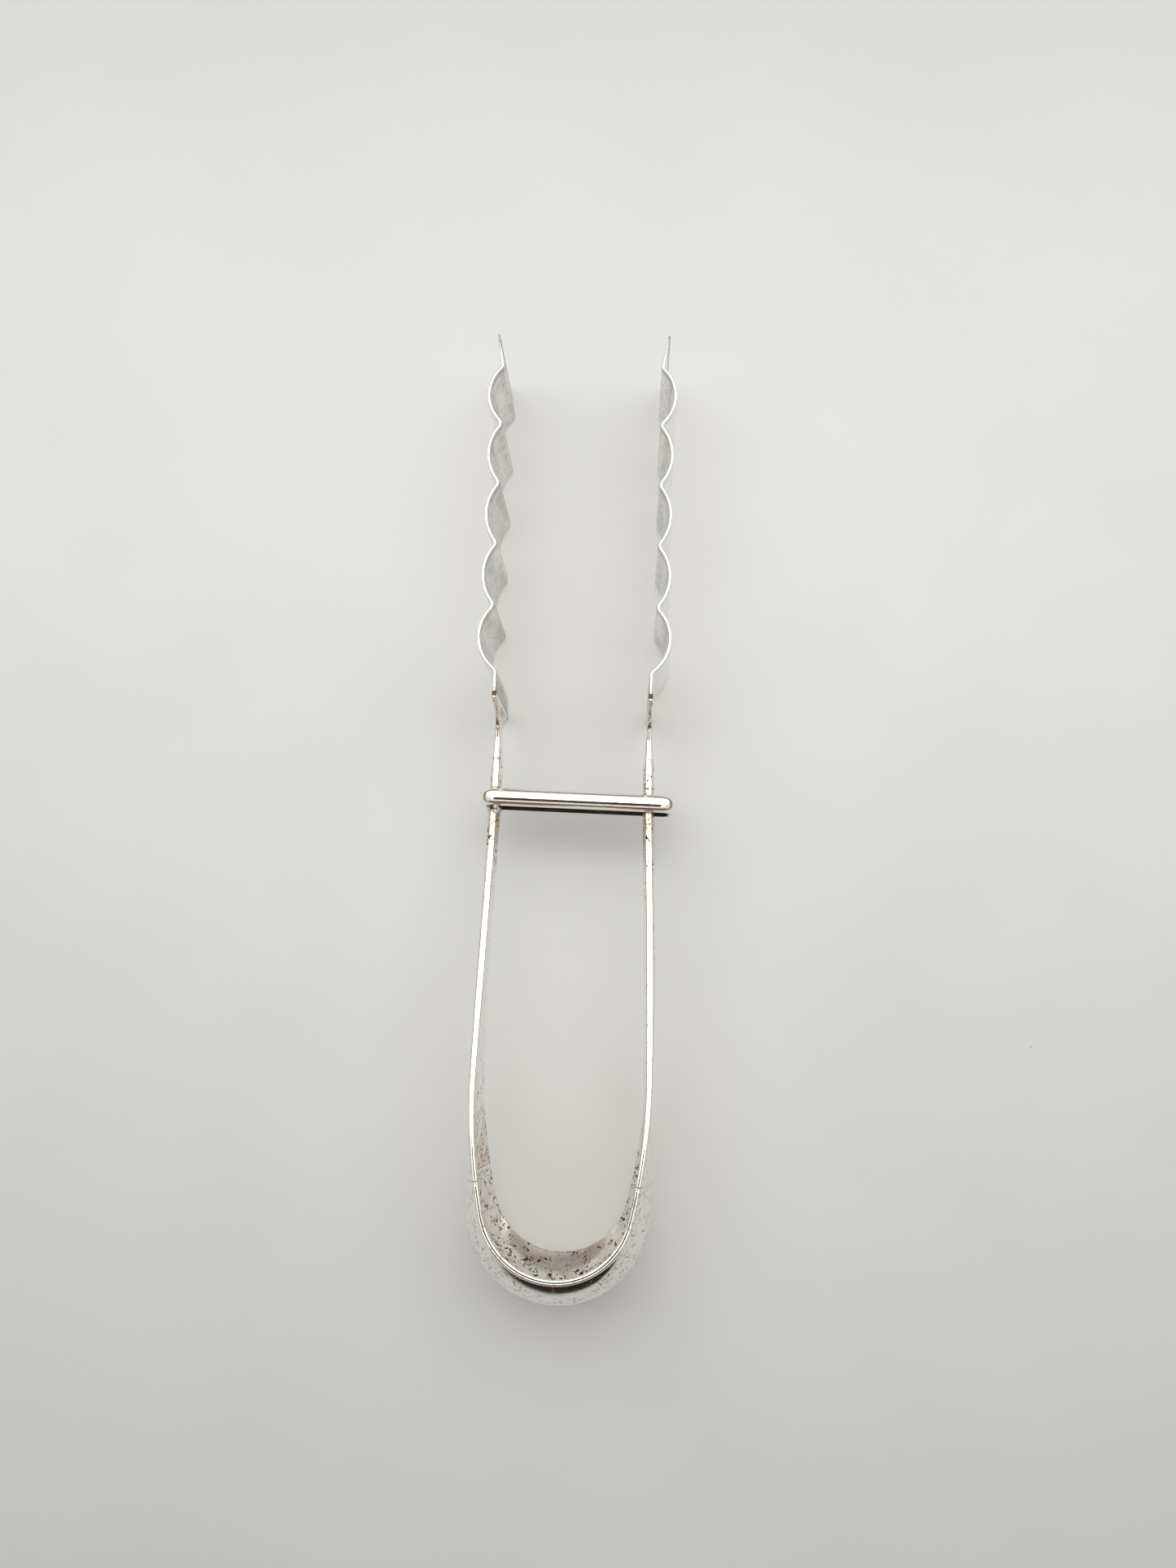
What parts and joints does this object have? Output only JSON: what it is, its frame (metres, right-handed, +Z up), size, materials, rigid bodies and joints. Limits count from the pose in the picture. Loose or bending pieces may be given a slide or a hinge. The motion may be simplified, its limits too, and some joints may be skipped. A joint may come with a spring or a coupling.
{
  "type": "serving tongs",
  "caption": "Spring-bow ice or asparagus tongs in polished silver: a dished U-shaped bow, two slim shanks, wide scalloped blades and a bridge loop that limits the opening.",
  "frame": {"origin": "under the middle of the bridge loop, midway between the arms and midway along the tongs, on the surface that the blades' edges rest on", "axes": "+X across the jaws towards the free arm, +Y along the tongs from the bow to the blade tips, +Z up along the blades' width, as the tongs lie on their edge"},
  "size_m": [0.0546, 0.2578, 0.031],
  "materials": {
    "bow_silver": "polished silver, with tarnish in the dished inside",
    "shank_silver": "polished silver with small pits and hand marks",
    "blade_silver": "softly polished silver sheet with grey streaks in the lobes",
    "loop_silver": "bright polished silver wire",
    "solder": "oxidised silver solder"
  },
  "bodies": {
    "bow": {"spring_bow": "bow_silver"},
    "left_arm": {"left_bow_solder": "solder", "left_shank": "shank_silver", "left_blade_solder": "solder", "left_blade": "blade_silver", "bridge_loop": "loop_silver", "loop_solder": "solder"},
    "right_arm": {"right_bow_solder": "solder", "right_shank": "shank_silver", "right_blade_solder": "solder", "right_blade": "blade_silver"}
  },
  "joints": [
    {"name": "right_arm_flex", "type": "hinge", "parent": "bow", "child": "right_arm", "pos_m": [0.014, -0.1123, 0.0155], "axis": [0, 0, 1], "range_deg": [-0.85, 5.2], "stiffness_Nm_per_rad": 6, "deforming": ["spring_bow"]},
    {"name": "left_arm_flex", "type": "hinge", "parent": "bow", "child": "left_arm", "pos_m": [-0.014, -0.1123, 0.0155], "axis": [0, 0, -1], "range_deg": [-0.85, 5.2], "stiffness_Nm_per_rad": 6, "deforming": ["spring_bow"]}
  ],
  "couplings": [
    {"joint": "left_arm_flex", "follows": "right_arm_flex", "ratio": 1}
  ]
}
